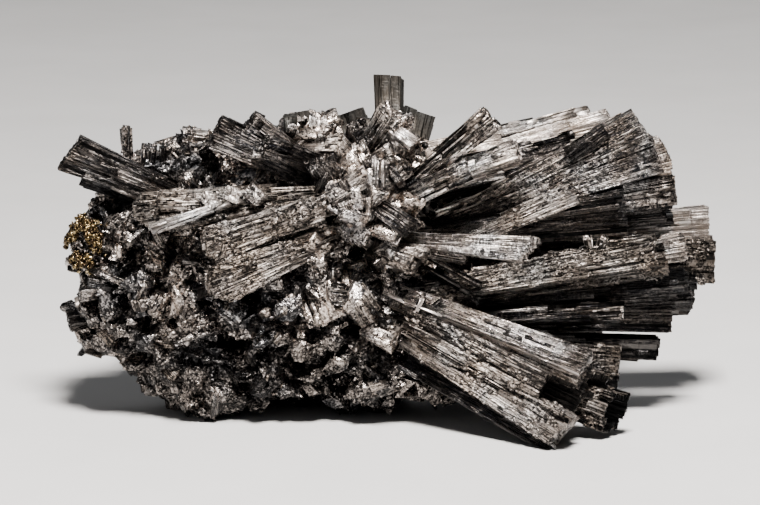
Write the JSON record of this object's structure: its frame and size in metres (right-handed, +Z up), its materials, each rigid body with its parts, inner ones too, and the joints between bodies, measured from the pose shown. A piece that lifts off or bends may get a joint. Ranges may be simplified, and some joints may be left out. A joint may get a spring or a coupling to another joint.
{
  "type": "enargite specimen",
  "caption": "Loose mineral specimen: sprays of striated, dark metallic prismatic enargite crystals fanning from a porous granular matrix, with a small patch of brassy pyrite.",
  "frame": {"origin": "under the middle of the specimen's length and depth, on the surface it rests on", "axes": "+X along the specimen to the tips of its longest sprays, +Z up, -Y out of its best face"},
  "size_m": [0.0798, 0.039, 0.0393],
  "materials": {
    "enargite_crystal": "metallic grey-black, striated along the crystals, warm grey where light catches the ribs",
    "enargite_matrix": "porous and granular, dark metallic with fine sparkling facets",
    "pyrite": "bright brassy metallic grains"
  },
  "bodies": {
    "root": {"matrix": "enargite_matrix", "upper_right_spray": "enargite_crystal", "forked_blade": "enargite_crystal", "centre_blade": "enargite_crystal", "middle_right_spray": "enargite_crystal", "underside_spray": "enargite_crystal", "far_right_spray": "enargite_crystal", "lower_right_spray": "enargite_crystal", "upper_left_spray": "enargite_crystal", "far_left_spray": "enargite_crystal", "left_spray": "enargite_crystal", "top_back_spray": "enargite_crystal", "small_back_spray": "enargite_crystal", "rear_right_spray": "enargite_crystal", "rear_lower_spray": "enargite_crystal", "rear_left_spray": "enargite_crystal", "pyrite_patch": "pyrite"}
  },
  "joints": []
}
